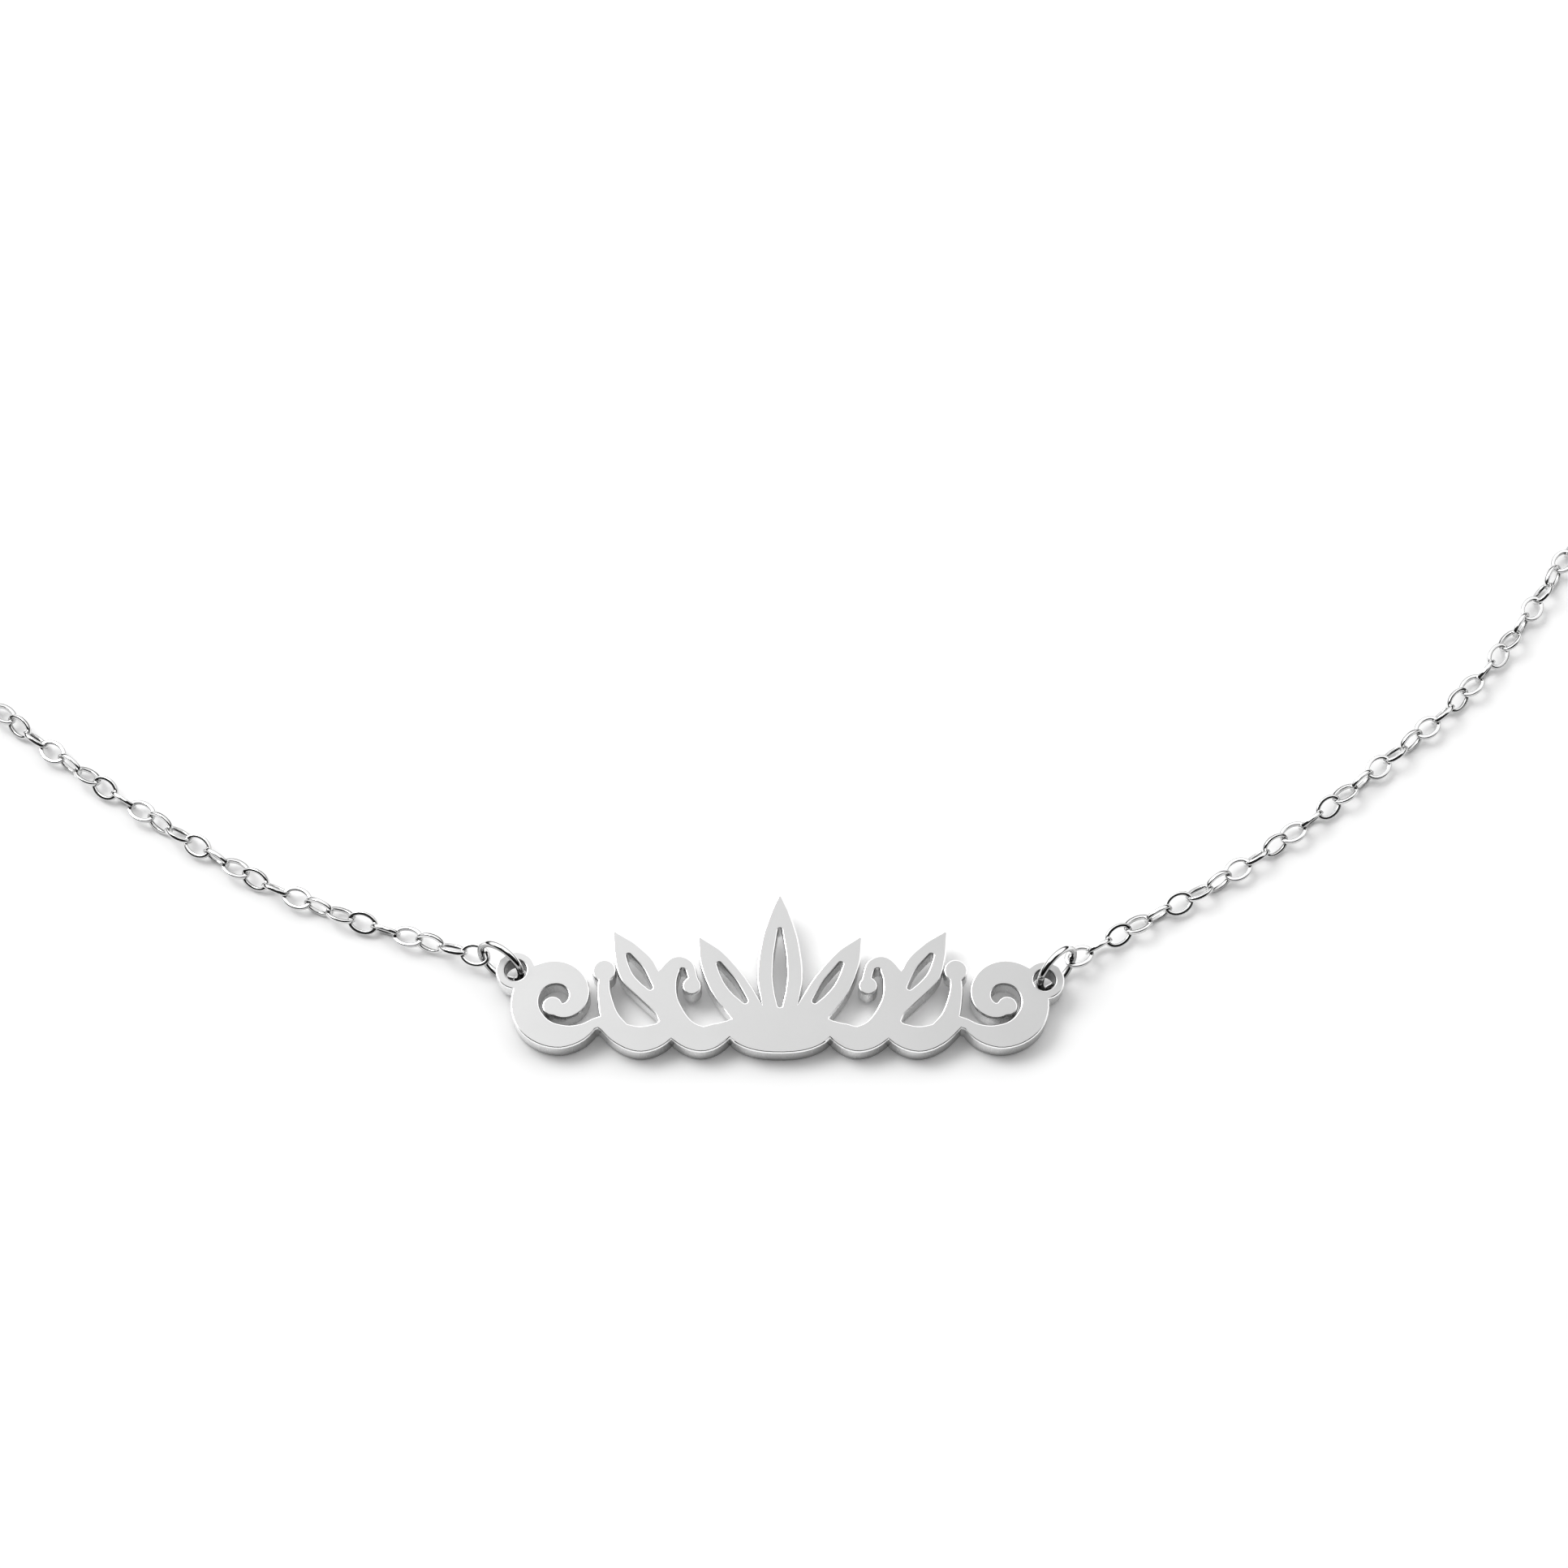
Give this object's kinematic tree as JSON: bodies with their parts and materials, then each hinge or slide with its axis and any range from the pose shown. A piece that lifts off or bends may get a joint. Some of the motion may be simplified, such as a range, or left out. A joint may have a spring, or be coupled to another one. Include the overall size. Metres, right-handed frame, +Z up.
{
  "type": "nameplate necklace",
  "caption": "Nameplate necklace: an openwork metal plate hangs between two jump rings on a fine cable chain, laid out as a closed loop with its clasp at the back.",
  "frame": {"origin": "centre of the bounding box, at its bottom: the surface that the necklace lies on", "axes": "+Z up from the surface, -Y towards the plate at the front of the loop, +X to the viewer's right along the plate"},
  "size_m": [0.1514, 0.1292, 0.0039],
  "materials": {
    "satin_steel": "satin top, polished walls",
    "polished_steel": "mirror polished",
    "chain_steel": "polished"
  },
  "bodies": {
    "root": {"nameplate": "satin_steel", "jump_ring_left": "polished_steel", "jump_ring_right": "polished_steel", "chain_left": "chain_steel", "chain_right": "chain_steel", "chain_back_left": "chain_steel", "chain_back_right": "chain_steel", "clasp": "polished_steel"}
  },
  "joints": []
}
